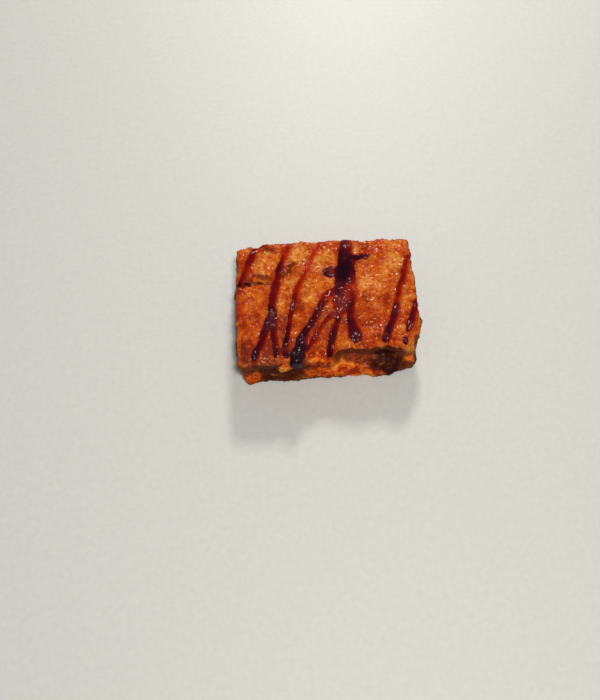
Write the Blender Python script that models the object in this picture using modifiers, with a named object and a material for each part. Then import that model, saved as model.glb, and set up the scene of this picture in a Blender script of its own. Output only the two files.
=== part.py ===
"""A portion of banana cake: one moist slab cut from a tray, with syrup drizzled over its top.

The slab stands on its flat base. +X is to its right, +Y to its far side and +Z up. The origin is
the middle of the base, and lengths are in metres. The crumb, its broken near side and the raised
syrup are one solid, because the syrup has soaked in and sets hard to the crust.

The slab is first a plain rounded block, and the syrup lies flat on it in smooth runs. Then the
whole is bent to its hand-cut, broken and lumpy form.
"""

from collections import namedtuple

import bmesh
import bpy
import numpy as np
from mathutils import Vector, noise

MM = 0.001

# Driving sizes: the portion as it was cut, before its edges sagged and broke.
WIDTH = 97.0 * MM
DEPTH = 73.0 * MM
HEIGHT = 24.6 * MM
CRUST_RADIUS = 2.4 * MM

# Fineness: the skin's cells while it is shaped, and the triangles left at the end.
CELL = 0.75 * MM
TRIANGLES = 9600

# Each side's form goes by stations along it: where the station is, and how far the side stands
# out there at each of these heights. A side holds its first and last station out to its corners.
# All are in millimetres.
HEIGHTS = (0, 5, 10, 15, 20, 25)
LIP = (0.3, -0.9, -1.6, -1.3, 0.5, 0.9)  # crust overhanging crumb that is drawn back
SLOPE = (0.3, -0.3, -0.8, -1.6, -2.6, -3.8)  # crust sloping down to the foot
BROKEN = (0.2, 0.8, -1.6, -7.4, -7.2, -5.2)  # crust broken off short over a hollow and a ledge
WORN = (-2.0, -1.7, -2.0, -3.6, -3.4, -2.6)  # corner with its crumb rubbed away
CUT_SHORT = (-1.2, -1.0, -1.0, -1.0, -1.0, -1.0)
BULGING = (-0.1, 0.1, 0.4, 0.8, 1.0, 1.0)  # crust wider than its foot
DRAWN_IN = (-1.0, -0.8, -0.2, 0.6, 1.0, 1.0)  # foot cut in under the crust
EVEN = (0.0, 0.0, 0.0, 0.1, 0.2, 0.2)
NEAR_SIDE = ((-19, LIP), (-11, SLOPE), (0, SLOPE), (7, BROKEN), (30, BROKEN), (44, WORN))
FAR_SIDE = ((-37.5, CUT_SHORT), (-34, BULGING), (8, DRAWN_IN), (30, EVEN))
LEFT_SIDE = ((-30, DRAWN_IN), (-12, BULGING), (10, BULGING), (34, CUT_SHORT))
RIGHT_SIDE = ((-32, WORN), (-24, EVEN), (-8, BULGING), (6, BULGING), (30, EVEN))

# Knobs and dents of one place: its middle along and up the side, or along X and Y on the top,
# its reach to each side of that, and how far it stands out. All are in millimetres.
Knob = namedtuple("Knob", "along up reach_along reach_up out")
NEAR_KNOBS = (
    Knob(-44, 3, 6, 9, 1.6),  # chunk at the foot of the left corner
    Knob(-25, 19, 4, 6, 2.2),  # pale crumb under the lip
    Knob(-31.5, 24, 3, 4, 1.0),  # smaller one at the lip
)
RIGHT_KNOBS = (Knob(-17, 21, 6.5, 7, 0.9),)  # flap of crust
TOP_KNOBS = (
    Knob(-31, 18, 8, 9, 1.3),  # blister of crust
    Knob(1, 2, 42, 34, 1.0),  # slight dome
    Knob(-4, -40, 13, 15, -4.6),  # crust bending down over the near side
    Knob(51, -40, 10, 12, -5.0),  # broken near right corner
    Knob(-50, 40, 14, 10, -1.4),  # low far left corner
)

# Cracks in the crust: points X and Y with the depth there, and how wide they open to each side.
Crack = namedtuple("Crack", "points half_width")
CRACKS = (
    Crack(((-56, 14.0, 2.6), (-45, 11.8, 2.0), (-37, 12.2, 1.4), (-29, 11.0, 0.2)), 1.3),
    Crack(((-30, 11.4, 0.6), (-22, 19.6, 1.0), (-7, 25.5, 0.2)), 1.8),
)
CRUST = 5.0 * MM

# The middle of the near side is wrinkled where its crust slopes down.
WRINKLED = Knob(-4, 12, 15, 16, 0.6)
WRINKLE_PITCH = 3.6

# Lumps of the crumb, and how the forms above wander: size and reach, in millimetres.
SEED = 2
LUMPS = ((15.0, 1.2), (6.0, 0.6), (3.2, 0.3))
WANDER = (9.0, 2.4)

# Syrup on the top: each run stands this thick where it is widest, and passes smoothly through
# points X, Y and half its width there, all in millimetres. The top ends at its edge, and a run
# that goes on past it drips down that side.
Run = namedtuple("Run", "thickness points")
SYRUP = (
    # Along the left side, from one drip on the far side to another on the left, and its branch.
    Run(0.8, ((-30.5, 44, 1.5), (-31.4, 37, 1.2), (-39.9, 30.4, 2), (-48, 11, 1.6), (-59, 8, 1.5))),
    Run(0.5, ((-37.5, 32.6, 1.2), (-31.8, 34.4, 1.1), (-26.8, 32.6, 0.8))),
    # The next one, and the two legs that it parts into.
    Run(1.0, ((-16, 56, 2), (-16.6, 38, 1.5), (-21.9, 27.2, 1.9), (-27.4, 8, 2.3), (-30.9, -13, 2.7))),
    Run(0.9, ((-30.4, -9, 2.4), (-35.6, -20.5, 1.7), (-41.2, -32.5, 2.1))),
    Run(0.9, ((-30.6, -10, 2.2), (-29.4, -22, 1.8), (-29.5, -33, 1.8))),
    # A thin one, all the way across.
    Run(0.7, ((1.2, 52, 1.6), (0.6, 37, 1.3), (-11, 16.6, 1.4), (-19.6, -4, 1.7), (-24.3, -33, 1.9))),
    # The main one, its pool in the middle of the top, and its four legs from left to right.
    Run(1.4, ((15.4, 58, 3.0), (14.8, 38, 3.1), (12.8, 26, 4.8), (11.4, 13, 5.4), (8.4, 3, 5.4))),
    Run(1.3, ((9.8, 4, 6.0), (7, -2, 6.8), (5.4, -6, 4.4))),
    Run(1.3, ((6.6, 5.4, 3), (-2.7, -3, 2.5), (-12, -17, 2.6), (-19, -35.6, 4.2), (-18.6, -48, 2.6))),
    Run(0.6, ((4.4, -4.6, 1.6), (-3.3, -16.3, 1.3), (-15, -30.2, 1.5))),
    Run(0.8, ((6.4, -8, 1.4), (4.4, -17, 1.6), (0.4, -26, 1.9), (-2.6, -38, 1.6), (-3.6, -56, 1.4))),
    Run(1.0, ((12.6, 9, 3.0), (14, -1, 2.3), (12.9, -14, 2.7), (13.6, -25.8, 3.2))),
    # A spur to its right, and a hook to its left.
    Run(0.6, ((15, 24.6, 1.8), (21.5, 25.5, 1.4), (27.3, 27.7, 0.9))),
    Run(0.6, ((8, 17.2, 1.4), (2.6, 18.2, 1.2), (1.4, 14.4, 1.1), (4.9, 13, 1.0))),
    # Two on the right, both dripping down the right side, and the last drop.
    Run(0.9, ((57, 25.6, 1.3), (48, 24, 1.5), (41.6, 5.6, 1.8), (34.4, -14, 1.9), (28.2, -27.8, 1.9))),
    Run(0.9, ((67, -5, 1.8), (50, -6, 1.6), (45.1, -16.1, 2.2), (41.2, -24.2, 1.4))),
    Run(0.7, ((39.9, -27.2, 1.2), (39.4, -28.8, 1.2))),
    # A thread along the near left corner.
    Run(0.5, ((-48.2, -14, 0.9), (-47.9, -26, 1.2), (-42.8, -34.4, 1.0))),
)


def clear_scene():
    for found in list(bpy.data.objects):
        bpy.data.objects.remove(found)


def new_collection(name):
    collection = bpy.data.collections.new(name)
    bpy.context.scene.collection.children.link(collection)
    return collection


def move_to(collection, thing):
    for holder in list(thing.users_collection):
        holder.objects.unlink(thing)
    collection.objects.link(thing)


def apply_modifiers(thing):
    """Makes the modifiers' result the object's own mesh."""
    graph = bpy.context.evaluated_depsgraph_get()
    thing.data = bpy.data.meshes.new_from_object(thing.evaluated_get(graph))
    thing.modifiers.clear()


def rounded_block():
    """The plain block: rounded upright corners and top rim, and a square foot."""
    bpy.ops.mesh.primitive_cube_add(size=1, location=(0, 0, 0))
    block = bpy.context.active_object
    mesh = bmesh.new()
    mesh.from_mesh(block.data)
    bmesh.ops.translate(mesh, vec=(0, 0, 0.5), verts=mesh.verts)
    bmesh.ops.scale(mesh, vec=(WIDTH, DEPTH, HEIGHT), verts=mesh.verts)
    rims = [edge for edge in mesh.edges if any(vert.co.z > 0 for vert in edge.verts)]
    bmesh.ops.bevel(mesh, geom=rims, offset=CRUST_RADIUS, segments=6, profile=0.5, affect="EDGES")
    mesh.to_mesh(block.data)
    mesh.free()
    return block


def syrup_strip(run, collection):
    """One run of syrup: a smooth tube through its points, half sunk, then pressed flat."""
    curve = bpy.data.curves.new("run", "CURVE")
    curve.dimensions = "3D"
    curve.bevel_depth = 1.0
    curve.bevel_resolution = 2
    curve.resolution_u = 5
    curve.use_fill_caps = True
    spline = curve.splines.new("BEZIER")
    spline.bezier_points.add(len(run.points) - 1)
    for point, (x, y, half_width) in zip(spline.bezier_points, run.points):
        point.co = (x * MM, y * MM, 0)
        point.radius = half_width * MM
        point.handle_left_type = point.handle_right_type = "AUTO"
    guide = bpy.data.objects.new("run", curve)
    collection.objects.link(guide)
    graph = bpy.context.evaluated_depsgraph_get()
    strip = bpy.data.objects.new("syrup", bpy.data.meshes.new_from_object(guide.evaluated_get(graph)))
    strip.matrix_world = guide.matrix_world
    bpy.data.objects.remove(guide)
    collection.objects.link(strip)
    weld(strip)
    flatness = run.thickness / max(point[2] for point in run.points)
    points = read_points(strip)
    points[:, 2] = HEIGHT + points[:, 2] * flatness
    for axis, half in ((0, WIDTH / 2), (1, DEPTH / 2)):
        points = fold_over(points, axis, half)
    write_points(strip, points)
    return strip


def weld(thing):
    mesh = bmesh.new()
    mesh.from_mesh(thing.data)
    bmesh.ops.remove_doubles(mesh, verts=mesh.verts, dist=0.01 * MM)
    mesh.to_mesh(thing.data)
    mesh.free()


def fold_over(points, axis, half):
    """Bends what reaches past the top's edge down over the rounded rim and the side."""
    height = points[:, 2] - HEIGHT
    past = np.abs(points[:, axis]) - (half - CRUST_RADIUS)
    turn = np.clip(past / CRUST_RADIUS, 0, np.pi / 2)
    down = np.maximum(past - CRUST_RADIUS * np.pi / 2, 0)
    radius = CRUST_RADIUS + height
    folded = points.copy()
    out = half - CRUST_RADIUS + radius * np.sin(turn)
    folded[:, axis] = np.where(past > 0, np.sign(points[:, axis]) * out, points[:, axis])
    folded[:, 2] = np.where(past > 0, HEIGHT - CRUST_RADIUS + radius * np.cos(turn) - down, points[:, 2])
    return folded


def read_points(thing):
    flat = np.empty(len(thing.data.vertices) * 3, np.float32)
    thing.data.vertices.foreach_get("co", flat)
    return flat.reshape(-1, 3).astype(float)


def write_points(thing, points):
    thing.data.vertices.foreach_set("co", points.astype(np.float32).ravel())
    thing.data.update()


def ramp(values, start, end):
    """0 up to start, 1 from end on, and a smooth rise between them."""
    share = np.clip((values - start) / (end - start), 0.0, 1.0)
    return share * share * (3 - 2 * share)


def side_relief(stations, knobs, along, up):
    """How far a side stands out, in metres: from each station it blends to the next one."""
    along, up = along / MM, up / MM
    out = np.interp(up, HEIGHTS, stations[0][1])
    for (start, before), (end, after) in zip(stations, stations[1:]):
        out = out + ramp(along, start, end) * np.interp(up, HEIGHTS, np.subtract(after, before))
    return MM * out + knob_relief(knobs, along * MM, up * MM)


def knob_relief(knobs, along, up):
    """How far knobs and dents stand out, in metres: round bumps that fade at their reach."""
    out = np.zeros(len(along))
    for knob in knobs:
        gap = np.hypot((along / MM - knob.along) / knob.reach_along, (up / MM - knob.up) / knob.reach_up)
        out += knob.out * MM * (1 - ramp(gap, 0.0, 1.0))
    return out


def noise_at(points, size, seed):
    """A smooth random direction at each point, up to about 1 long, in lumps of this size."""
    offset = Vector((seed * 17.3, seed * 5.1, seed * 9.7))
    return np.array([noise.noise_vector(Vector(point) / (size * MM) + offset) for point in points])


def crack_depth(points, crack):
    """How deep a crack is at each point, in metres: a notch with its floor on the crack's line."""
    deepest = np.zeros(len(points))
    for start, end in zip(crack.points, crack.points[1:]):
        start, end = np.array(start) * MM, np.array(end) * MM
        run = (end - start)[:2]
        share = np.clip((points[:, :2] - start[:2]) @ run / (run @ run), 0.0, 1.0)
        gap = np.linalg.norm(points[:, :2] - start[:2] - share[:, None] * run, axis=1)
        depth = start[2] + share * (end[2] - start[2])
        deepest = np.maximum(deepest, depth * np.clip(1 - gap / (crack.half_width * MM), 0.0, 1.0))
    return deepest * ramp(points[:, 2], HEIGHT - CRUST, HEIGHT - CRUST / 3)


def shape(cake):
    """Bends the plain block, with its syrup, to the form it was cut and broken to."""
    plain = read_points(cake)
    size, reach = WANDER
    x, y, z = (plain + reach * MM * noise_at(plain, size, seed=1)).T
    wrinkles = knob_relief([WRINKLED], x, z) * np.sin(2 * np.pi * z / (WRINKLE_PITCH * MM))
    near = side_relief(NEAR_SIDE, NEAR_KNOBS, x, z) + wrinkles
    far = side_relief(FAR_SIDE, (), x, z)
    left = side_relief(LEFT_SIDE, (), y, z)
    right = side_relief(RIGHT_SIDE, RIGHT_KNOBS, y, z)
    across, away = plain[:, 0] / (WIDTH / 2), plain[:, 1] / (DEPTH / 2)
    points = plain.copy()
    points[:, 0] += np.where(across < 0, left, right) * across
    points[:, 1] += np.where(away < 0, near, far) * away
    points[:, 2] += knob_relief(TOP_KNOBS, x, y) * plain[:, 2] / HEIGHT
    on_top = np.column_stack((x, y, plain[:, 2]))
    points[:, 2] -= sum(crack_depth(on_top, crack) for crack in CRACKS)
    for seed, (size, reach) in enumerate(LUMPS, start=2):
        points += reach * MM * noise_at(plain, size, seed)
    on_base = plain[:, 2] < 0.7 * CELL
    points[:, 2] = np.where(on_base, 0.0, np.maximum(points[:, 2], 0.3 * CELL))
    write_points(cake, points)


def flatten_base(cake):
    """Makes the base one flat face."""
    mesh = bmesh.new()
    mesh.from_mesh(cake.data)
    base = [face for face in mesh.faces if all(vert.co.z == 0.0 for vert in face.verts)]
    bmesh.ops.dissolve_faces(mesh, faces=base)
    bmesh.ops.triangulate(mesh, faces=mesh.faces)
    mesh.to_mesh(cake.data)
    mesh.free()


def soaked_crumb():
    material = bpy.data.materials.new("soaked crumb")
    material.use_nodes = True
    shader = material.node_tree.nodes["Principled BSDF"]
    shader.inputs["Base Color"].default_value = (0.50, 0.14, 0.03, 1.0)
    shader.inputs["Roughness"].default_value = 0.4
    shader.inputs["Metallic"].default_value = 0.0
    return material


def main():
    clear_scene()
    noise.seed_set(SEED)
    cake = rounded_block()
    cake.name = "cake"
    move_to(new_collection("banana cake"), cake)

    syrup = new_collection("syrup")
    for run in SYRUP:
        syrup_strip(run, syrup)
    union = cake.modifiers.new("syrup", "BOOLEAN")
    union.operation = "UNION"
    union.operand_type = "COLLECTION"
    union.collection = syrup
    skin = cake.modifiers.new("skin", "REMESH")
    skin.mode = "VOXEL"
    skin.voxel_size = CELL
    apply_modifiers(cake)
    for strip in list(syrup.objects):
        bpy.data.objects.remove(strip)
    bpy.data.collections.remove(syrup)

    shape(cake)
    flatten_base(cake)
    thinner = cake.modifiers.new("thinner", "DECIMATE")
    thinner.ratio = TRIANGLES / len(cake.data.polygons)
    apply_modifiers(cake)
    cake.data.shade_smooth()
    cake.data.materials.clear()
    cake.data.materials.append(soaked_crumb())


main()
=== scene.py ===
import math

import bpy
import numpy as np
from mathutils import Matrix, Vector, noise


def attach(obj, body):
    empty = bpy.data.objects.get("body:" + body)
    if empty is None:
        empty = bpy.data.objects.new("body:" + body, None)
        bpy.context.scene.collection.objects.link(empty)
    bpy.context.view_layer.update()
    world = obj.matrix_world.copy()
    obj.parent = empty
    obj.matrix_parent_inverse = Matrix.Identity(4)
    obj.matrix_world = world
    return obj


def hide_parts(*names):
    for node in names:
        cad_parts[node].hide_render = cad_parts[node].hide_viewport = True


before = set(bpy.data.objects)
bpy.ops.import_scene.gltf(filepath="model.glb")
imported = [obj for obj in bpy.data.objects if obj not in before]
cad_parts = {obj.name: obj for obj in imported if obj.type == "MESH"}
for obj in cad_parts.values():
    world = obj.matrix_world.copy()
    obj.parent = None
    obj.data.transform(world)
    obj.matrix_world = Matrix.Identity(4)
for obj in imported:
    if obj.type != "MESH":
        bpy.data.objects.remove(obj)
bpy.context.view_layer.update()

# ---- Camera -----------------------------------------------------------------------------------
# The slab is seen from standing height over a table: 66 degrees above the table and 45 cm away,
# turned 4 degrees from the slab's near side, and aimed a little to its left.

MM = 0.001
VIEW_HEIGHT = math.radians(66)
VIEW_TURN = math.radians(-4.01)
VIEW_DISTANCE = 451.5 * MM
VIEW_TARGET = Vector((-15.83, -18.44, 0)) * MM
VIEW_LENS = 41.14
VIEW_START = 10 * MM

bpy.ops.object.select_all(action="DESELECT")
bpy.ops.object.camera_add()
camera = bpy.context.active_object
camera.name = "camera"
camera.data.lens = VIEW_LENS
camera.data.clip_start = VIEW_START
straight_back = Vector((0, -math.cos(VIEW_HEIGHT), math.sin(VIEW_HEIGHT)))
back = Matrix.Rotation(VIEW_TURN, 3, "Z") @ straight_back
camera.location = VIEW_TARGET + VIEW_DISTANCE * back
camera.rotation_euler = (math.pi / 2 - VIEW_HEIGHT, 0, VIEW_TURN)
bpy.context.scene.camera = camera

# ---- Table and light --------------------------------------------------------------------------
# A plain pale table and two soft lamps: one nearly overhead, and a low one beyond the slab, which
# glints on everything moist. The room's own light fills the near side's shade.

TABLE_SIZE = 4.0
TABLE_DROP = 0.05 * MM
TABLE_GRAIN = 3.0
TABLE_COLOURS = ((0.60, 0.60, 0.585), (0.63, 0.63, 0.615))
TABLE_ROUGHNESS = 0.55
LAMP_COLOUR = (1.0, 0.97, 0.90)
LAMP_SIZE = 0.15
LAMP_PLACE = Vector((0.08, -0.34, 0.93))
LAMP_WATTS = 6.0
FAR_LAMP_SIZE = 0.14
FAR_LAMP_PLACE = Vector((0.12, 0.82, 0.60))
FAR_LAMP_WATTS = 5.6
ROOM_COLOUR = (1.0, 0.99, 0.96, 1.0)
ROOM_LIGHT = 0.22


class Wire:
    """A socket in a material. Sums, differences and products of wires add Math nodes."""

    def __init__(self, material, socket):
        self.material = material
        self.socket = socket

    def math(self, operation, first, second):
        return self.material.add("ShaderNodeMath", {"operation": operation}, {0: first, 1: second})

    def __add__(self, other):
        return self.math("ADD", self, other)

    def __radd__(self, other):
        return self.math("ADD", other, self)

    def __sub__(self, other):
        return self.math("SUBTRACT", self, other)

    def __rsub__(self, other):
        return self.math("SUBTRACT", other, self)

    def __mul__(self, other):
        return self.math("MULTIPLY", self, other)

    def __rmul__(self, other):
        return self.math("MULTIPLY", other, self)

    def between(self, low, high):
        """0 at low, 1 at high, smooth between them and held outside them."""
        settings = {"interpolation_type": "SMOOTHSTEP", "clamp": True}
        sockets = {"Value": self, "From Min": low, "From Max": high}
        return self.material.add("ShaderNodeMapRange", settings, sockets)


class Finish:
    """A material made of nodes, with one Principled shader. Its sizes are in millimetres."""

    def __init__(self, name):
        self.made = bpy.data.materials.new(name)
        self.made.use_nodes = True
        self.tree = self.made.node_tree
        self.shader = self.tree.nodes["Principled BSDF"]

    def add(self, kind, settings, sockets, out=0):
        """Adds a node, makes its settings, feeds its sockets and returns one of its outputs."""
        node = self.tree.nodes.new(kind)
        for name, value in settings.items():
            if name == "stops":
                self.set_stops(node.color_ramp, value)
            else:
                setattr(node, name, value)
        for name, value in sockets.items():
            self.feed(node.inputs[name], value)
        return Wire(self, node.outputs[out])

    def set_stops(self, ramp, stops):
        while len(ramp.elements) < len(stops):
            ramp.elements.new(0.5)
        for element, (place, colour) in zip(ramp.elements, stops):
            element.position = place
            element.color = (*colour, 1.0)

    def feed(self, socket, value):
        if isinstance(value, Wire):
            self.tree.links.new(value.socket, socket)
        elif isinstance(value, tuple) and len(value) == 3 and len(socket.default_value) == 4:
            socket.default_value = (*value, 1.0)
        else:
            socket.default_value = value

    def set(self, **sockets):
        for name, value in sockets.items():
            self.feed(self.shader.inputs[name.replace("_", " ")], value)

    def place(self):
        """Where a point is on the piece."""
        at = self.add("ShaderNodeTexCoord", {}, {}, "Object")
        return self.add("ShaderNodeVectorMath", {"operation": "SCALE"}, {0: at, "Scale": 1 / MM})

    def noise(self, place, size, detail=2.0, rough=0.5):
        sockets = {"Vector": place, "Scale": 1 / size, "Detail": detail, "Roughness": rough}
        return self.add("ShaderNodeTexNoise", {}, sockets)

    def cells(self, place, size):
        """How far each point is from the middle of its grain, for grains this far apart."""
        return self.add("ShaderNodeTexVoronoi", {}, {"Vector": place, "Scale": 1 / size})

    def warped(self, place, size):
        """The places pushed about by noise, so that what is drawn on them isn't regular."""
        sockets = {"Vector": place, "Scale": 1 / size, "Detail": 1.0}
        push = self.add("ShaderNodeTexNoise", {}, sockets, 1)
        settings = {"operation": "SCALE"}
        scaled = self.add("ShaderNodeVectorMath", settings, {0: push, "Scale": 0.8 * size})
        return self.add("ShaderNodeVectorMath", {"operation": "ADD"}, {0: place, 1: scaled})

    def mark(self, name):
        """A value stored on the piece's own points."""
        return self.add("ShaderNodeAttribute", {"attribute_name": name}, {}, "Fac")

    def ramp(self, share, stops):
        return self.add("ShaderNodeValToRGB", {"stops": stops}, {0: share})

    def blend(self, share, first, second):
        settings = {"data_type": "RGBA", "clamp_factor": True}
        sockets = {0: share, 6: first, 7: second}
        return self.add("ShaderNodeMix", settings, sockets, 2)

    def bump(self, height, depth, strength):
        sockets = {"Height": height, "Distance": depth * MM, "Strength": strength}
        return self.add("ShaderNodeBump", {}, sockets)


bpy.ops.object.select_all(action="DESELECT")
bpy.ops.mesh.primitive_plane_add(size=TABLE_SIZE, location=(0, 0, -TABLE_DROP))
table = bpy.context.active_object
table.name = "table"
table_finish = Finish("pale table")
table_mottle = table_finish.noise(table_finish.place(), TABLE_GRAIN, 4.0).between(0.3, 0.7)
table_colour = table_finish.blend(table_mottle, *TABLE_COLOURS)
table_finish.set(Base_Color=table_colour, Roughness=TABLE_ROUGHNESS)
table.data.materials.append(table_finish.made)


def add_light(name, place, size, watts):
    """Adds a square lamp that faces the slab."""
    bpy.ops.object.light_add(type="AREA", location=place)
    light = bpy.context.active_object
    light.name = name
    light.data.size = size
    light.data.energy = watts
    light.data.color = LAMP_COLOUR
    light.rotation_euler = place.to_track_quat("Z", "Y").to_euler()


add_light("lamp", LAMP_PLACE, LAMP_SIZE, LAMP_WATTS)
add_light("far lamp", FAR_LAMP_PLACE, FAR_LAMP_SIZE, FAR_LAMP_WATTS)
room = bpy.data.worlds.new("room")
room.use_nodes = True
room.node_tree.nodes["Background"].inputs["Color"].default_value = ROOM_COLOUR
room.node_tree.nodes["Background"].inputs["Strength"].default_value = ROOM_LIGHT
bpy.context.scene.world = room
bpy.context.scene.view_settings.view_transform = "Standard"

# ---- Slab of crumb ----------------------------------------------------------------------------
# A moist oil-based crumb under a thin browned crust, baked in a tray and cut. Its broad form, from
# its worn corners to the broken near side, is the frame's, and its granules, pores and crevices
# are raised and cut in a fine skin of that form. All sizes are in millimetres.

SKIN_CELL = 0.45
SKIN_EASING = {"factor": 0.6, "iterations": 10}
BASE_ZONE = 0.25
TOUCHING = 0.001
TOP_EDGE = 23.4
# How far apart the crumb's granules, swells, tears, pores, dents, crags and layers are.
COARSE_GRAIN = 2.2
FINE_GRAIN = 1.15
SWELL = 3.2
TEAR = 4.0
PORE = 1.9
DENT = 2.2
CRAG = 7.0
LAYER = 1.5
LAYER_STRETCH = np.array([0.25, 1, 1])
# How high they stand on the top and on the sides, and how deep the hollows among them are.
TOP_COARSE = 0.60
TOP_FINE = 0.22
TOP_SWELL = 0.34
DENT_DEPTH = 0.30
SIDE_COARSE = 0.65
SIDE_FINE = 0.45
TEAR_HEIGHT = 0.9
PORE_DEPTH = 0.9
LAYER_HEIGHT = 0.45
SINK = 0.35
CRUMB_SEED = 11

noise.seed_set(CRUMB_SEED)


def pick(piece):
    """Makes this piece the only one that is selected, and the active one."""
    bpy.ops.object.select_all(action="DESELECT")
    piece.select_set(True)
    bpy.context.view_layer.objects.active = piece


def modify(piece, kind, **settings):
    """Adds a modifier to a piece and applies it."""
    pick(piece)
    modifier = piece.modifiers.new(kind.lower(), kind)
    for name, value in settings.items():
        setattr(modifier, name, value)
    bpy.ops.object.modifier_apply(modifier=modifier.name)


def copied(piece, name):
    """A copy of a piece, with its own mesh."""
    copy = bpy.data.objects.new(name, piece.data.copy())
    bpy.context.scene.collection.objects.link(copy)
    return copy


def read_points(piece, value):
    """A value of three numbers, such as the place or the normal, for each point of a piece."""
    flat = np.empty(len(piece.data.vertices) * 3, np.float32)
    piece.data.vertices.foreach_get(value, flat)
    return flat.reshape(-1, 3).astype(float)


def move_points(piece, points):
    """Puts a piece's points here, with all that lie in the base zone flat on the table."""
    points[:, 2] = np.where(points[:, 2] < BASE_ZONE * MM, 0.0, points[:, 2])
    piece.data.vertices.foreach_set("co", points.astype(np.float32).ravel())
    piece.data.update()


def store_mark(piece, name, values):
    attribute = piece.data.attributes.new(name, "FLOAT", "POINT")
    attribute.data.foreach_set("value", values.astype(np.float32))


def join_base(piece):
    """Makes the faces that lie flat on the table one face."""
    pick(piece)
    bpy.ops.object.mode_set(mode="EDIT")
    bpy.ops.mesh.select_mode(type="FACE")
    bpy.ops.mesh.select_all(action="DESELECT")
    bpy.ops.object.mode_set(mode="OBJECT")
    corners = piece.data.vertices
    for face in piece.data.polygons:
        face.select = max(corners[corner].co.z for corner in face.vertices) < TOUCHING * MM
    bpy.ops.object.mode_set(mode="EDIT")
    bpy.ops.mesh.dissolve_faces()
    bpy.ops.mesh.select_mode(type="VERT")
    bpy.ops.object.mode_set(mode="OBJECT")


def smooth_step(values, low, high):
    """0 at low, 1 at high, smooth between them and held outside them."""
    share = np.clip((values - low) / (high - low), 0.0, 1.0)
    return share * share * (3 - 2 * share)


def lumps(points, size, seed):
    """Smooth lumps of this size, from about -1 to 1."""
    shift = Vector((seed * 31.7, seed * 12.9, seed * 7.3))
    return np.array([noise.noise(Vector(point) / (size * MM) + shift) for point in points])


def domes(points, size, seed):
    """Rounded grains this far apart: 1 on top of each, 0 in the crevices between them."""
    shift = Vector((seed * 11.3, seed * 3.9, seed * 17.7))
    places = (Vector(point) / (size * MM) + shift for point in points)
    spans = np.array([noise.voronoi(place)[0][0] for place in places])
    return 1 - np.minimum(spans / 0.8, 1) ** 2


skin = copied(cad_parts["cake"], "skin")
pick(skin)
bpy.ops.object.mode_set(mode="EDIT")
bpy.ops.mesh.select_all(action="SELECT")
bpy.ops.mesh.remove_doubles(threshold=TOUCHING * MM)
bpy.ops.object.mode_set(mode="OBJECT")
skin.data.materials.clear()
modify(skin, "REMESH", mode="VOXEL", voxel_size=SKIN_CELL * MM)
modify(skin, "SMOOTH", **SKIN_EASING)

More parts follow.
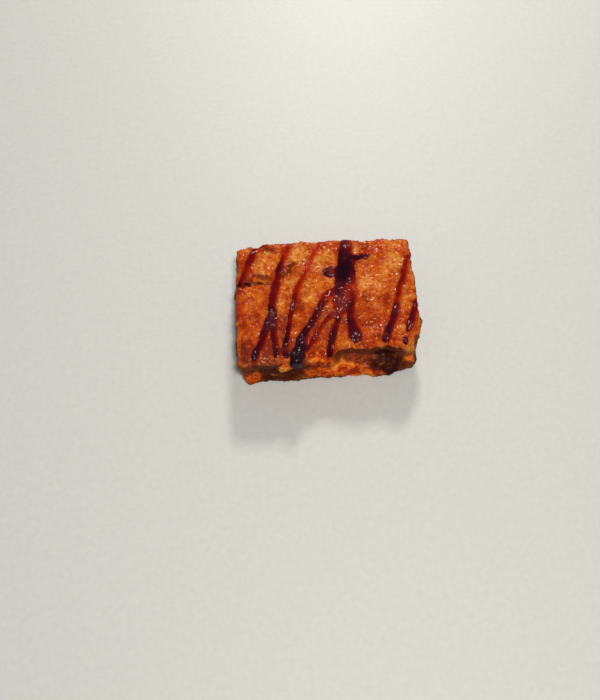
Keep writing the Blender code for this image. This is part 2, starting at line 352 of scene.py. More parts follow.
# The syrup's runs are laid out here, because the crumb lies lower and smoother under them. Each
# point of a run is its X and Y, half its width and how thick it is. The top ends at its edge, and
# a run that goes on past it drips down that side.
SYRUP_RUNS = {
    "left": (
        (-26, 44, 1, 0.5), (-31.8, 36.7, 1.1, 0.6), (-37.2, 34, 1.4, 0.8), (-39.2, 29.9, 2, 0.75),
        (-40.2, 27.5, 2, 0.75), (-41.7, 24.4, 1.8, 0.75), (-42.7, 21.4, 1.8, 0.65),
        (-43.9, 18.4, 1.7, 0.75), (-45.4, 15.5, 1.6, 0.9), (-47.4, 12.2, 1.5, 1),
        (-54, 9.5, 1.6, 0.9), (-59, 8, 1.4, 0.7),
    ),
    "left branch": (
        (-39, 31.4, 0.9, 0.35), (-36.5, 32.7, 1.4, 0.32), (-33.8, 33.2, 0.8, 0.4),
    ),
    "second": (
        (-16, 56, 1.6, 0.6), (-17.2, 38, 1.6, 0.42), (-19.4, 32.5, 1.6, 0.42),
        (-21, 28.6, 1.8, 0.42), (-22.2, 26.1, 1.6, 0.5), (-23.6, 23.2, 1.5, 0.95),
        (-24.6, 20.4, 2, 1.3), (-25.4, 17.3, 1.8, 1.25), (-26.3, 13.9, 1.7, 0.85),
        (-27, 10.8, 2.4, 0.9), (-28.2, 6.2, 2.4, 0.88), (-29.2, 1.7, 2.1, 0.9),
        (-29.8, -1.3, 2, 0.95), (-29.9, -4.3, 2, 1.3), (-30, -7.4, 2.5, 1.4),
        (-30.8, -10.5, 3.4, 1.3), (-31.4, -13.8, 4, 1.2),
    ),
    "second, left leg": (
        (-33.4, -14.8, 2.4, 1.3), (-35.1, -19.2, 2, 1.15), (-37.1, -24.8, 2, 1.15),
        (-38.9, -27.7, 2, 1.2), (-40.4, -30.5, 2.1, 1.5), (-40.8, -32.4, 1.7, 1.5),
    ),
    "second, right leg": (
        (-30, -15.4, 1.9, 1.1), (-30, -21, 1.7, 0.95), (-29.4, -25.4, 1.8, 1.05),
        (-28.9, -28.4, 2, 1.15), (-29.2, -31.6, 1.8, 1.3),
    ),
    "thin": (
        (4, 48, 1.3, 0.45), (1.4, 37.6, 1.6, 0.32), (-0.8, 34.6, 1.4, 0.3),
        (-2.9, 31.6, 1.2, 0.3), (-5.4, 27.4, 1.25, 0.3), (-8.2, 21.9, 1.15, 0.3),
        (-10.1, 16.1, 1.25, 0.38), (-13, 11.5, 1.2, 0.45), (-14.9, 8.2, 1.7, 0.56),
        (-16.5, 3.6, 1.9, 0.62), (-18.3, -3.2, 1.6, 0.8), (-20, -7.9, 1.3, 0.95),
        (-21.1, -13.4, 1.4, 0.95), (-22.6, -20, 1.4, 1.1), (-23.9, -25.2, 1.6, 1.6),
        (-24.6, -28.6, 1.8, 1.2), (-23.9, -31.8, 1.9, 1.4),
    ),
    "main": (
        (15.4, 58, 3.1, 1.1), (14.3, 38, 3.4, 0.85), (13.7, 32.4, 3.6, 0.9),
        (13.1, 28.8, 3.9, 1.15), (12.7, 24.8, 4.4, 1.7), (12.4, 20.1, 4.9, 1.9),
        (12, 15.4, 5.2, 2), (11, 12.2, 4.8, 1.8), (9.2, 9.4, 3.8, 1.5), (8, 6.2, 3.4, 1.1),
        (6.6, 3.6, 3, 1),
    ),
    "main, right side": (
        (14.6, 14, 2.2, 1), (14.4, 10, 2.8, 0.55), (13.6, 6.2, 2.9, 0.5), (14, 2.4, 2.5, 0.55),
        (13.9, -1.6, 2.2, 0.8), (13.2, -5, 2.1, 0.95), (12.5, -7.8, 2.2, 0.95),
        (12.2, -12.2, 2.4, 1.05), (12.4, -15.8, 2.7, 1.1), (13.1, -19.4, 3.1, 1.1),
        (13.8, -23.8, 3.3, 1.35),
    ),
    "pool": (
        (9.2, 3.9, 3.6, 0.7), (8.6, 1.2, 4.8, 0.7), (8.1, -2.7, 4.7, 0.68),
        (7.6, -5.8, 4.2, 0.72), (7, -8, 3.2, 0.75), (3.6, -10.6, 2.2, 0.6),
    ),
    "main, left leg": (
        (5, 3.4, 2.4, 0.9), (1, 2, 2.5, 0.6), (-1.2, -0.6, 2.3, 0.6), (-3.1, -4.1, 1.9, 1),
        (-5.6, -8.4, 1.9, 1.15), (-8, -12.5, 1.8, 1.2), (-10.9, -16.4, 1.9, 1.35),
        (-13.7, -20.6, 2.3, 1.4), (-15.3, -23.5, 2.8, 1.6), (-16, -27.4, 3.3, 2),
        (-17.4, -31.6, 3.6, 2.4), (-18.8, -35.1, 3.7, 2.6), (-18.9, -37.4, 3, 2.6),
    ),
    "main, thin leg": (
        (3.3, -9.6, 1.6, 0.7), (-0.8, -13, 1.2, 0.7), (-3, -15.7, 1.2, 0.75),
        (-5, -18.2, 1.2, 0.62), (-6.9, -20.8, 1.5, 0.62), (-8.5, -23.6, 1.6, 0.7),
        (-11.2, -27, 1.2, 0.85), (-13.8, -29.4, 1.2, 1),
    ),
    "main, middle leg": (
        (5.9, -9.4, 1.3, 0.6), (5.4, -13.2, 1.4, 1.2), (4, -16.2, 1.7, 0.9), (2.5, -20, 1.9, 1),
        (0.9, -24.3, 2, 1.4), (0.1, -28, 1.9, 1.1), (-0.6, -32.4, 1.9, 1.5),
    ),
    "spur": (
        (14, 24.4, 2, 1.7), (18.4, 24.9, 1.5, 1.6), (21.6, 25.2, 1.4, 1.4), (25.4, 25.9, 1.1, 1),
    ),
    "spur, film": (
        (21.6, 27.4, 1, 0.4), (24, 28.2, 1.3, 0.3), (26.9, 29.2, 1, 0.28),
    ),
    "hook": (
        (8.6, 18.8, 1, 0.9), (4.1, 19.2, 1, 0.8), (1.8, 18.2, 1.4, 1.2), (1, 16.4, 1.7, 1.6),
        (2.2, 14.8, 1.5, 1.4), (4.6, 14.2, 1.2, 1), (8, 14.4, 1.3, 1.1),
    ),
    "hook, film": (
        (2.2, 16.6, 1.8, 1), (4.2, 16.8, 1.8, 0.55), (7, 16.8, 1.8, 0.65),
    ),
    "fourth": (
        (57, 26, 1.3, 0.6), (47.6, 23.7, 1.3, 0.7), (46.5, 21.4, 1.4, 0.6),
        (45.4, 18.3, 1.5, 0.55), (44.4, 15, 1.8, 0.65), (43.9, 11.9, 1.7, 0.75),
        (42.8, 8.6, 1.6, 0.75), (40.8, 5.4, 1.6, 0.62), (39.7, 0.1, 1.6, 0.6),
        (38.5, -3.2, 1.6, 0.62), (37.6, -6.4, 1.9, 0.85), (36.7, -10, 2.1, 0.9),
        (35, -14.7, 1.9, 1), (33.3, -17.6, 2, 1.2), (31.8, -21.2, 2.2, 1.2), (29.6, -26, 2, 1.1),
    ),
    "fifth": (
        (67, -2, 1.7, 0.6), (50, -4, 1.5, 0.75), (48.2, -7.2, 1.7, 0.85), (46.9, -10.4, 1.9, 0.9),
        (45.4, -14.4, 1.8, 0.95), (43.6, -18.3, 2.1, 0.95), (42.2, -21.6, 1.5, 0.85),
    ),
    "last drop": (
        (40.2, -26.6, 1.5, 1.2), (39.9, -28.8, 1.4, 1.2),
    ),
}
# The steps along a run, how far round it the crumb is searched, and the gap where no run is near.
RUN_SPACING = 0.5
RUN_REACH = 9
NO_SYRUP = 50.0
# How much the rim wanders and the thickness wavers, each with its size and its seed.
RIM_WAVES = ((0.18, 3.4, 1), (0.12, 1.5, 2))
THICKNESS_WAVES = (0.30, 4.5, 9)
GRAIN_AT_RIM = 0.3
# A run stands no higher than this share of half its width, and is paler at its right and its rim.
STEEPEST_RUN = 0.4
# Its paler right is painted light shining through the syrup.
RIGHT_PAINTED_LIGHT = 0.42
PALER_RIM = 0.42
SYRUP_MARGIN = 1.0


def flow_path(run):
    """A run's points joined by a smooth line, and taken at even steps along it."""
    knots = np.array(run, float)
    knots = np.vstack((2 * knots[0] - knots[1], knots, 2 * knots[-1] - knots[-2]))
    path = [knots[-2:-1]]
    for a, b, c, d in zip(knots, knots[1:], knots[2:], knots[3:]):
        count = max(2, int(np.hypot(*(c - b)[:2]) / RUN_SPACING))
        t = np.arange(count)[:, None] / count
        bend = (2 * a - 5 * b + 4 * c - d) * t**2 + (3 * b - a - 3 * c + d) * t**3
        path.append(0.5 * (2 * b + (c - a) * t + bend))
    return np.vstack(path)


def unrolled(points, normals):
    """Each point's X and Y, with the sides laid out flat around the top."""
    flat = points[:, :2] / MM
    drop = np.maximum(TOP_EDGE - points[:, 2] / MM, 0)
    on_side = smooth_step(1 - np.abs(normals[:, 2]), 0.25, 0.6)
    facing_x = np.abs(normals[:, 0]) > np.abs(normals[:, 1])
    flat[:, 0] += np.where(facing_x, np.sign(normals[:, 0]) * drop * on_side, 0)
    flat[:, 1] += np.where(facing_x, 0, np.sign(normals[:, 1]) * drop * on_side)
    return flat


def syrup_over(points, normals, grain):
    """For each point, how thick the syrup over it stands, how deep its colour is, less at the rim
    and on a run's right with painted light, and how far the point is from the rim, below 0 under
    the syrup.
    The rim wanders round the grains of the crumb, and nothing lies on the slab's underside."""
    flat = unrolled(points, normals)
    ragged = 1 + sum(part * lumps(points, size, seed) for part, size, seed in RIM_WAVES)
    part, size, seed = THICKNESS_WAVES
    uneven = 1 + part * lumps(points, size, seed)
    thickness = np.zeros(len(points))
    depth = np.zeros(len(points))
    gap = np.full(len(points), NO_SYRUP)
    for run in SYRUP_RUNS.values():
        path = flow_path(run)
        low, high = path[:, :2].min(0) - RUN_REACH, path[:, :2].max(0) + RUN_REACH
        near = np.flatnonzero(((flat > low) & (flat < high)).all(axis=1))
        share = np.full(len(near), np.inf)
        film = np.zeros(len(near))
        stands = np.zeros(len(near))
        rim = np.full(len(near), NO_SYRUP)
        lean = np.zeros(len(near))
        for x, y, half, thick in path:
            aside, along = flat[near, 0] - x, flat[near, 1] - y
            away = np.hypot(aside, along) * ragged[near] + GRAIN_AT_RIM * (grain[near] - 0.5)
            closer = away / half < share
            share = np.where(closer, away / half, share)
            film = np.where(closer, thick, film)
            stands = np.where(closer, min(thick, STEEPEST_RUN * half), stands)
            rim = np.where(closer, away - half, rim)
            lean = np.where(closer, aside / half, lean)
        profile = np.clip(1 - share**2, 0, 1) ** 0.4
        thickness[near] = np.maximum(thickness[near], stands * profile * uneven[near])
        # A run's right is paler: painted light shining through the syrup.
        seen = film * uneven[near] * (1 - RIGHT_PAINTED_LIGHT * smooth_step(lean, -0.1, 0.9))
        seen *= (share < 1.3) * (1.08 - PALER_RIM * smooth_step(share, 0.55, 1.0))
        depth[near] = np.maximum(depth[near], seen)
        gap[near] = np.minimum(gap[near], rim)
    gap = np.where(normals[:, 2] < -0.3, NO_SYRUP, gap)
    return np.where(gap > SYRUP_MARGIN, 0, thickness), depth, gap


# Creases in the crust: how deep and how wide each is, and its points X and Y.
CREASES = (
    (0.6, 0.55, ((-54, 12.4), (-47, 11.4), (-42, 12.6), (-36, 12.4), (-28.4, 10.9))),
    (0.2, 1.0, ((-28, 11.5), (-22, 18), (-16, 22), (-9, 25.6))),
    (0.35, 0.7, ((19.5, -0.4), (21.4, -2.0), (22.6, -3.4))),
    (0.25, 0.7, ((26, -0.4), (29, -1.6), (31.5, -0.5), (34.5, -1.6))),
)
CREASE_WANDER = 0.5


def creased(points):
    """How far each point sinks into a crease."""
    flat = points[:, :2] / MM + CREASE_WANDER * lumps(points, 3.0, 12)[:, None]
    sunk = np.zeros(len(points))
    for depth, width, line in CREASES:
        knots = np.array(line, float)
        for start, end in zip(knots, knots[1:]):
            span = end - start
            along = np.clip((flat - start) @ span / (span @ span), 0, 1)
            away = np.hypot(*(flat - start - along[:, None] * span).T)
            sunk = np.maximum(sunk, depth * np.exp(-((away / width) ** 2)))
    return sunk


# Bakes, stains, and painted light and shade, in soft patches: each is a place on the slab, X, Y
# and
# Z, and its radius. The broken side's open crumb is painted lit, and its dark hollows are painted
# shade. The froth and the dulled patches are places in the syrup.
PATCHES = {
    "golden": (
        (3, 26.5, 25, 5), (-34, 22.5, 25, 7), (-4, 22, 25, 8), (-20, 10, 25, 6), (26, 7, 25, 8),
        (40, 20, 25, 7), (43.5, -30.5, 23, 5), (-14, 30, 25, 7), (-24.8, -38, 21, 4.5),
        (-25.5, -38.5, 17, 4), (-31, -34.5, 25, 2.5), (17.5, 31, 25, 4), (-10, 3, 25, 5.5),
        (-24, 1, 25, 4), (2, -34, 11, 3), (-31.5, 30.6, 24.6, 3.5), (43, -2, 25, 5),
        (-35, -35.8, 24.9, 2.5),
    ),
    "reddened": (
        (-47.9, -2.2, 24.6, 4), (-47.6, -8, 24.6, 4.5), (-48.2, 6.7, 24, 4), (-8, -24, 25, 10),
        (22, -24, 25, 9), (2, -33, 22, 5), (-40, -26, 25, 9), (13, -36, 7, 3.5),
        (7, -34.5, 10, 2.5), (24, 30, 25, 4), (-33, -33, 25, 8), (20, -13, 25, 8),
        (29, -17, 25, 7), (41, -14, 25, 5), (25, -36.5, 8, 3.5), (-33, -27, 25, 6),
        (-16, -5, 25, 5), (-42, -12, 25, 8), (-42, 20, 25, 4), (33, -3, 25, 4),
    ),
    # Browned crust in places, and painted shade in the hollow under the overhang and the crease.
    "toasted": (
        (-43.9, 13.8, 24.5, 2), (-40.5, 13.4, 24.3, 1.5), (-35, -34.8, 25.2, 2.8),
        (-31, -35.4, 25.1, 2.6), (41.8, -34.3, 8.8, 2.4), (36, -35.3, 6.5, 4), (41, -35, 4, 3.2),
        (8, -29, 17, 6), (15, -29.5, 17, 6), (22, -30, 17, 6), (4, -30.7, 16.2, 3),
        (9.4, -30.7, 13.9, 3.3), (15, -31.7, 12.5, 3.3), (20.3, -32.8, 11.4, 3.3),
        (35.5, -32.2, 23, 3.2), (-37, -36.5, 24, 4), (-31.5, -37.5, 24, 4), (-45, -36, 22, 4),
        (-2.3, -34.3, 13.3, 2.5),
    ),
    # Red-brown syrup smears, and a band of painted shade along the creases on the left.
    "smeared": (
        (-43.9, 14.6, 24.9, 1.9), (-41.2, 14.6, 24.5, 2.1), (-38.9, 17.2, 24.4, 1.7),
        (-36.5, 16.6, 24.7, 2.3), (-34.4, 15.6, 25, 2.4), (-32, 15.4, 25.4, 2.3),
        (-22.4, 17.4, 24.8, 3.2), (-20.4, 18.6, 25, 2.7), (-22.3, 21.2, 24.6, 2.3),
        (-19.7, 22.1, 24.6, 2), (-16.9, 22.8, 25.4, 1.7), (-31.3, 34.7, 24.8, 3),
        (-28, 33.2, 24.2, 2.5), (-46.8, -25, 24, 2.6), (-46.3, -29, 24.2, 3),
        (-45.5, -33, 24, 3.2), (-44.5, -36, 22, 2.5), (-41.5, -34.5, 25, 2.6),
    ),
    "scarlet": (
        (-48.4, -3.5, 24.4, 3.2), (-47.9, -8, 24.6, 3), (30.6, 36.1, 23.5, 2.2),
        (33.5, -29.6, 25, 2), (13.5, -36, 7.5, 2.8), (5.4, -35.5, 9.1, 1.6),
    ),
    # Painted shade, near black: the hollow under the overhang, the crease's pits, below the blob.
    "stained": (
        (31, -31.5, 15, 6), (34, -34, 11, 6), (27, -30, 15, 5), (27, -32.5, 12.5, 4),
        (35, -37, 6, 6), (29.4, -36.2, 9.6, 4.5), (24, -34, 11, 4), (32.2, -33.1, 13, 5),
        (-19, -38, 18, 5), (-44.1, 12.9, 24, 1.8), (-42, 12, 24, 1.8),
    ),
    "shaded": (
        (-37, -35, 15, 6), (-32, -35, 11, 8), (-26, -35.5, 8, 9), (-19, -35, 9, 7),
        (-15.5, -35, 14, 4), (-34, -35.5, 4, 6),
    ),
    # The broken side's open crumb, painted lighter as if lit from above.
    "bright": (
        (-43.4, -36, 7, 6), (-8, -33, 20, 7), (-4, -35, 13, 8), (-9, -35.5, 8, 6),
        (0, -36.5, 7, 7), (6, -34, 10, 6), (12, -34, 10, 6), (17, -34, 10, 6), (23, -35, 10, 5),
        (28, -37.5, 6, 3), (12, -37, 4, 6), (20, -37, 4, 6), (43, -33, 14, 4.5),
        (-24.8, -38, 20.5, 5), (-25.5, -38.5, 16.5, 4),
    ),
    # Froth paler than the syrup, with a painted purple-grey sheen.
    "milky": (
        (8, -1, 27, 5.5), (7.6, -7, 26, 3), (-31, -11, 25, 4.5), (13.5, 7.5, 26.5, 2.5),
        (-14.5, -24, 25, 2.5),
    ),
    "dulled": (
        (15, 37, 25, 5), (-33, 36, 25, 5), (-8, 22, 25, 4), (2.5, 16.5, 25, 5),
    ),
    "wet": (
        (-24.2, -12, 25, 4.5), (-24.8, -18, 25, 4), (-3, -9, 25, 5), (-7, -17, 25, 5),
        (1, -17, 25, 4), (-13, -26, 25, 5), (-33.4, -25, 25, 5), (9, -14, 25, 4),
        (18.9, 22.7, 24.3, 2.5), (-42, -30.8, 25.3, 5), (-44.4, -33.3, 24.6, 4),
        (-25.7, -29.7, 25.3, 4.5), (-20.7, -26.3, 24.6, 4), (-26, -10.4, 24.4, 4),
        (-26.2, -21.3, 24.9, 3.5), (-35, -31, 25, 4),
    ),
}

skin_points = read_points(skin, "co")
skin_normals = read_points(skin, "normal")
torn = lumps(skin_points, TEAR, 7)


def patches(points, places):
    """Soft ragged patches: 1 in the middle of one, and 0 away from them all."""
    found = np.zeros(len(points))
    for *middle, radius in places:
        away = np.linalg.norm(points / MM - np.array(middle), axis=1) / radius
        found = np.maximum(found, 1 - smooth_step(away + 0.4 * torn, 0.4, 1.2))
    return found


upward = smooth_step(skin_normals[:, 2], 0.35, 0.8)
raised = smooth_step(skin_points[:, 2] / MM, 0.2, 1.4)
pushed_points = skin_points + 0.5 * MM * lumps(skin_points, 2.0, 3)[:, None]
coarse = domes(pushed_points, COARSE_GRAIN, 1)
fine = domes(skin_points, FINE_GRAIN, 2)
swell = lumps(skin_points, SWELL, 6)
syrup_thickness, syrup_depth, syrup_gap = syrup_over(skin_points, skin_normals, coarse)
pores = smooth_step(lumps(skin_points, PORE, 5), 0.34, 0.62) * (1 - upward)
dents = smooth_step(lumps(skin_points, DENT, 8), 0.36, 0.60) * upward
sunk = creased(skin_points) * upward
craggy = 0.85 + 0.5 * lumps(skin_points, CRAG, 10)
patch_marks = {name: patches(skin_points, places) for name, places in PATCHES.items()}
layers = lumps(skin_points * LAYER_STRETCH, LAYER, 14) * patch_marks["bright"]

# How far each point stands out of the skin, on the top, on the sides and in the broken part.
on_top = craggy * (TOP_COARSE * coarse + TOP_FINE * fine) + TOP_SWELL * swell - DENT_DEPTH * dents
on_side = SIDE_COARSE * coarse + SIDE_FINE * fine + TEAR_HEIGHT * torn - PORE_DEPTH * pores
relief = upward * on_top + (1 - upward) * on_side + LAYER_HEIGHT * layers
height = relief * (0.7 + 0.3 * upward) - sunk
# Under the syrup the crumb is smoother and lies a little lower.
covered = smooth_step(-syrup_gap, -0.1, 0.7)
relief = relief * (1 - 0.6 * covered) - 0.15 * covered

# The pool where the runs part has sunk in, so it stands lower than the frame's.
POOL_PLACE = (8.5, 1)
POOL_HALF = (6, 9)
POOL_SETTLES = 1.1
pool_aside = (skin_points[:, 0] / MM - POOL_PLACE[0]) / POOL_HALF[0]
pool_along = (skin_points[:, 1] / MM - POOL_PLACE[1]) / POOL_HALF[1]
pool_share = 1 - smooth_step(np.hypot(pool_aside, pool_along), 0.35, 1.25)
settled = POOL_SETTLES * pool_share * upward

crumb = copied(skin, "cake_crumb")
crumb_rise = (relief - sunk - SINK - settled) * raised
move_points(crumb, skin_points + skin_normals * (crumb_rise * MM)[:, None])
store_mark(crumb, "height", height)
store_mark(crumb, "upward", smooth_step(skin_normals[:, 2], 0.2, 0.7))
store_mark(crumb, "soaked", np.exp(-np.maximum(syrup_gap, 0) / 1.1))
# The crease mark paints shade along the crease lines.
store_mark(crumb, "crease", np.minimum(sunk / 0.6, 1))
for name, values in patch_marks.items():
    store_mark(crumb, name, values)

# The crumb's colours, from crevices darkened with painted shade to grain tops with painted light.
TOP_COLOURS = (
    (0.00, (0.25, 0.022, 0.003)),
    (0.25, (0.41, 0.044, 0.004)),
    (0.50, (0.51, 0.094, 0.006)),
    (0.75, (0.60, 0.170, 0.018)),
    (1.00, (0.69, 0.260, 0.055)),
)
# The broken side's moist orange crumb, brightened with painted light.
BROKEN_PAINTED_LIT_COLOURS = (
    (0.00, (0.24, 0.010, 0.002)),
    (0.25, (0.46, 0.045, 0.003)),
    (0.50, (0.74, 0.120, 0.005)),
    (0.75, (0.92, 0.230, 0.015)),
    (1.00, (0.95, 0.400, 0.080)),
)
# The sides' browner cut crumb, painted darker than the top with shade.
SIDE_AND_SHADE_COLOURS = (
    (0.00, (0.055, 0.009, 0.002)),
    (0.50, (0.170, 0.036, 0.006)),
    (1.00, (0.420, 0.120, 0.018)),
)
SHADE = (0.058, 0.005, 0.002)
GOLD = (0.64, 0.31, 0.070)
# The colour of the painted glints on the grain tops.
PAINTED_GLINT = (0.85, 0.38, 0.16)
# The mark and colour of each stain, bake and painted shade, how much of it there is, and how far
# the mottling adds to that.
STAINS_AND_PAINTED_SHADE = (
    ("wet", (0.15, 0.019, 0.013), -0.74, 2.7),
    ("scarlet", (0.4, 0.02, 0.002), -0.25, 1.8),
    ("smeared", (0.14, 0.012, 0.004), 0.68, 0.38),
    ("toasted", (0.155, 0.025, 0.008), 0.6, 0.55),
    # The crease's dark line is painted shade.
    ("crease", (0.035, 0.004, 0.002), 0.9, 0),
    ("soaked", (0.22, 0.012, 0.003), 0.45, 0.5),
    ("stained", (0.02, 0.0014, 0.003), 0.95, 0),
)
# How far apart the bakes, mottles, pebbles, painted glints and coat glints are.
BAKE_PATCH = 6.0
MOTTLE = 2.2
GRAIN = 0.8
PEBBLE = 1.0
PAINTED_GLINT_SPACING = 1.7
GLINT = 0.9
# How light the crevices' painted shade is, and how much each thing lightens or darkens the crumb.
# Height and pebbles paint shade in the crevices and light on grain tops; the rest is its own tone.
DARKEST = 0.16
HEIGHT_PAINTED_SHADE = 0.34
PEBBLE_PAINTED_LIGHT = 0.26
MOTTLE_LIGHTENS = 0.7
GRAIN_LIGHTENS = 0.25
BAKE_LIGHTENS = 1.35
GOLD_LIGHTENS = 0.18
RED_DARKENS = 0.28
CRUMB_BUMP = 0.30

moist = Finish("moist crumb")
at = moist.place()
stretch = (0.6, 1.0, 1.0)
streaked = moist.add("ShaderNodeVectorMath", {"operation": "MULTIPLY"}, {0: at, 1: stretch})
faces_up = moist.mark("upward")
golden = moist.mark("golden")
patchy = moist.noise(at, BAKE_PATCH, 3.0, 0.55)
mottled = moist.noise(at, MOTTLE, 3.0, 0.6)
grainy = moist.noise(at, GRAIN, 2.0, 0.6)
pebbly = 1 - moist.cells(moist.warped(at, 1.2), PEBBLE)
# Painted shade in the crevices and painted light on the grains, with the crumb's own mottled tone.
tone_and_painted_shade = DARKEST + moist.mark("height") * HEIGHT_PAINTED_SHADE + pebbly * PEBBLE_PAINTED_LIGHT
tone_and_painted_shade = tone_and_painted_shade + (mottled - 0.5) * MOTTLE_LIGHTENS + (grainy - 0.5) * GRAIN_LIGHTENS
baked = (patchy - 0.5) * BAKE_LIGHTENS + golden * GOLD_LIGHTENS
tone_and_painted_shade = tone_and_painted_shade + (baked - moist.mark("reddened") * RED_DARKENS)

top = moist.ramp(tone_and_painted_shade, TOP_COLOURS)
side = moist.ramp(tone_and_painted_shade * 1.3 - 0.25 + golden * 0.7, SIDE_AND_SHADE_COLOURS)
side = moist.blend(moist.mark("shaded") * mottled.between(0.20, 0.55), side, SHADE)
broken_painted_lit = moist.ramp(tone_and_painted_shade * 1.3 - 0.15, BROKEN_PAINTED_LIT_COLOURS)
# Faces that point up take the top's colours; the rest take the sides', with their painted shade.
colour = moist.blend(faces_up, side, top)
colour = moist.blend(moist.mark("bright"), colour, broken_painted_lit)
colour = moist.blend(golden * mottled.between(0.42, 0.62) * 0.45, colour, GOLD)
for name, tone, share, follows in STAINS_AND_PAINTED_SHADE:
    colour = moist.blend(moist.mark(name) * (mottled * follows + share), colour, tone)
# Pale specks on the upward grain tops: painted glints.
painted_glint_cells = 1 - moist.cells(moist.warped(streaked, 1.6), PAINTED_GLINT_SPACING)
shiny = (mottled + 0.10 * golden).between(0.44, 0.60)
colour = moist.blend(painted_glint_cells.between(0.76, 0.95) * shiny * faces_up * 0.65, colour, PAINTED_GLINT)

bumps = moist.bump((pebbly + 0.3 * grainy) * (2.2 - 1.2 * faces_up), CRUMB_BUMP, 0.42)
dry = (1 - faces_up) * 0.45 + moist.mark("stained") * 0.3
glints = moist.noise(streaked, GLINT, 2.0, 0.6).between(0.52, 0.66)
glints = glints * faces_up * (1 - moist.mark("stained"))
moist.set(
    Base_Color=colour,
    Roughness=0.17 + 0.16 * mottled.between(0.5, 0.65) + dry,
    Normal=bumps,
    IOR=1.28,
    Specular_Tint=(1.0, 0.52, 0.32),
    Coat_Weight=glints * (0.40 + 0.45 * moist.mark("wet")),
    Coat_Roughness=0.08,
    Coat_IOR=1.5,
)
join_base(crumb)
crumb.data.materials.append(moist.made)
crumb.data.shade_smooth()
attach(crumb, "root")
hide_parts("cake")

# ---- Syrup ------------------------------------------------------------------------------------
# A dark red fruit syrup, squeezed in lines over the slab. It is a closed skin that lies on the
# crust, thick and nearly black in the middle of a line and clear red at its rim.

# How far past its rim the skin reaches, how thick it is, and how far it stays above the crumb.
SYRUP_SKIRT = 0.7
SYRUP_WALL = 0.5
ABOVE_CRUMB = 0.15
# How high a film and a full run stand on the top, and how much the crumb shows through them.
FILM_LEVEL = 0.05
RUN_LEVEL = 0.32
FULL_RUN = 1.2
SWELL_SHOWS = 0.10
GRAIN_SHOWS = 0.08
COARSE_BUBBLES = 0.50
FINE_BUBBLES = 0.45
DRIP_STANDS = 0.30
RIM_DIVE = 0.25
DIVE_SLOPE = 0.4
# Bubbly and wrinkled places: X, Y and Z, and the radius.
BUBBLY = (
    (-31, -12.5, 25, 5.5), (-30.5, -8, 25, 3), (-40.5, -31, 25, 3), (-29.2, -30, 25, 3),
    (8, -1.5, 27, 6.5), (13.5, 7.5, 26.5, 3), (7.6, -7, 26, 4.5), (4, -10.5, 25.7, 3),
    (0, -1, 26, 3), (-4, -8, 26, 3), (14, 3, 26.5, 4), (0.3, -24, 25, 2.5), (-10, -15, 25.5, 2.5),
    (-15.6, -25, 25, 4), (-18, -33, 25, 6), (-19, -38, 22, 5), (13.6, -24, 25, 4),
    (36.9, -9.4, 24.5, 3.5), (30, -25.6, 25, 2.5), (39.9, -28, 25, 2), (43, -19, 25, 2.5),
    (25, 26, 24.5, 2.2), (-19, -3.5, 25, 2.5), (-7, -21, 25, 3), (-24.2, -29, 25, 3),
)
SYRUP_COLOURS = (
    (0.00, (0.46, 0.034, 0.001)),
    (0.16, (0.40, 0.022, 0.001)),
    (0.25, (0.24, 0.009, 0.001)),
    (0.36, (0.145, 0.005, 0.004)),
    (0.50, (0.082, 0.003, 0.006)),
    (0.70, (0.040, 0.0025, 0.007)),
    (1.00, (0.015, 0.0018, 0.006)),
)
FROTH_AND_SHEEN = (0.16, 0.032, 0.042)
SWIRL = 2.4
RIPPLE = 0.8
SYRUP_BUMP = 0.12

# The syrup's upper face: level on the top but for its bubbles, and held by the crumb on the sides.
bubbly = patches(skin_points, BUBBLY)
level = FILM_LEVEL + RUN_LEVEL * np.sqrt(np.minimum(syrup_thickness, FULL_RUN))
level = level + SWELL_SHOWS * swell - settled
level = level + (GRAIN_SHOWS + COARSE_BUBBLES * bubbly) * coarse + FINE_BUBBLES * bubbly * fine
on_top = np.maximum(level, crumb_rise + ABOVE_CRUMB)
on_side = crumb_rise + ABOVE_CRUMB + DRIP_STANDS * syrup_thickness
poured = upward * on_top + (1 - upward) * on_side
# Past its rim the face dives into the crumb, so that its edge doesn't show.
rim_share = smooth_step(syrup_gap, -0.3, 0.5)
dive = crumb_rise - RIM_DIVE - DIVE_SLOPE * np.maximum(syrup_gap, 0)
syrup_rise = ((1 - rim_share) * poured + rim_share * dive) * raised

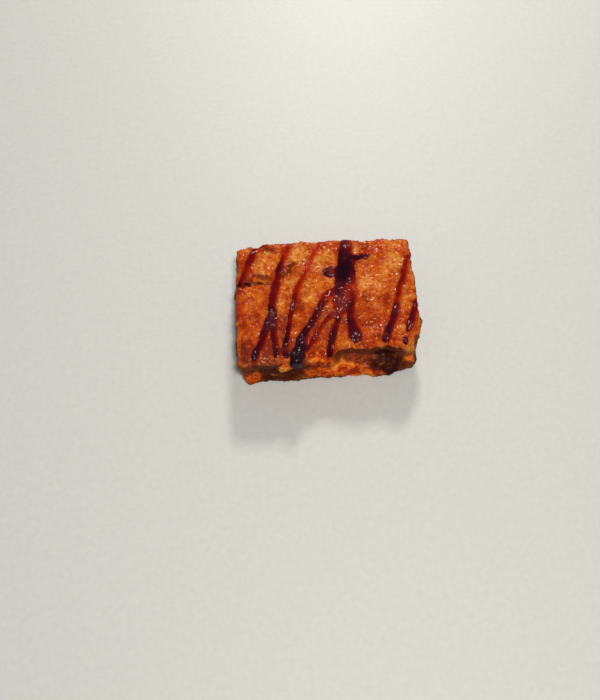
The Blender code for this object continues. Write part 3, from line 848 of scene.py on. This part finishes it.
syrup = copied(skin, "syrup")
move_points(syrup, skin_points + skin_normals * (syrup_rise * MM)[:, None])
store_mark(syrup, "depth", syrup_depth)
store_mark(syrup, "bubbly", bubbly)
store_mark(syrup, "milky", patch_marks["milky"])
store_mark(syrup, "dulled", patch_marks["dulled"])
pick(syrup)
bpy.ops.object.mode_set(mode="EDIT")
bpy.ops.mesh.select_all(action="DESELECT")
bpy.ops.object.mode_set(mode="OBJECT")
syrup.data.vertices.foreach_set("select", syrup_gap > SYRUP_SKIRT)
bpy.ops.object.mode_set(mode="EDIT")
bpy.ops.mesh.delete(type="VERT")
# Corners that only touch, and loose ones, go too, so that the skin closes everywhere.
for _ in range(3):
    bpy.ops.mesh.select_all(action="DESELECT")
    bpy.ops.mesh.select_non_manifold(
        use_boundary=False, use_multi_face=False, use_non_contiguous=False)
    bpy.ops.mesh.delete(type="VERT")
bpy.ops.mesh.select_all(action="SELECT")
bpy.ops.mesh.delete_loose()
bpy.ops.object.mode_set(mode="OBJECT")
modify(syrup, "SOLIDIFY", thickness=SYRUP_WALL * MM, offset=-1.0)

glossy = Finish("red syrup")
at = glossy.place()
bubbles = glossy.mark("bubbly")
swirls = glossy.noise(at, SWIRL, 3.0, 0.6)
colour = glossy.ramp(glossy.mark("depth") * 0.5 + (swirls - 0.5) * 0.22, SYRUP_COLOURS)
# Paler froth, and a painted purple-grey sheen, in the pool and the fork.
colour = glossy.blend(glossy.mark("milky") * swirls.between(0.35, 0.6) * 0.22, colour, FROTH_AND_SHEEN)
ripples = glossy.noise(at, RIPPLE, 2.0) * (0.15 + bubbles)
glossy.set(
    Base_Color=colour,
    Roughness=0.10 + 0.08 * swirls + 0.10 * bubbles + 0.42 * glossy.mark("dulled"),
    Normal=glossy.bump(ripples, SYRUP_BUMP, 0.4),
    IOR=1.17,
    Specular_Tint=(1.0, 0.60, 0.65),
    Coat_Weight=0.04 + 0.5 * bubbles,
    Coat_Roughness=0.07,
    Coat_IOR=1.45,
)
syrup.data.materials.append(glossy.made)
syrup.data.shade_smooth()
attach(syrup, "root")

bpy.data.objects.remove(skin)
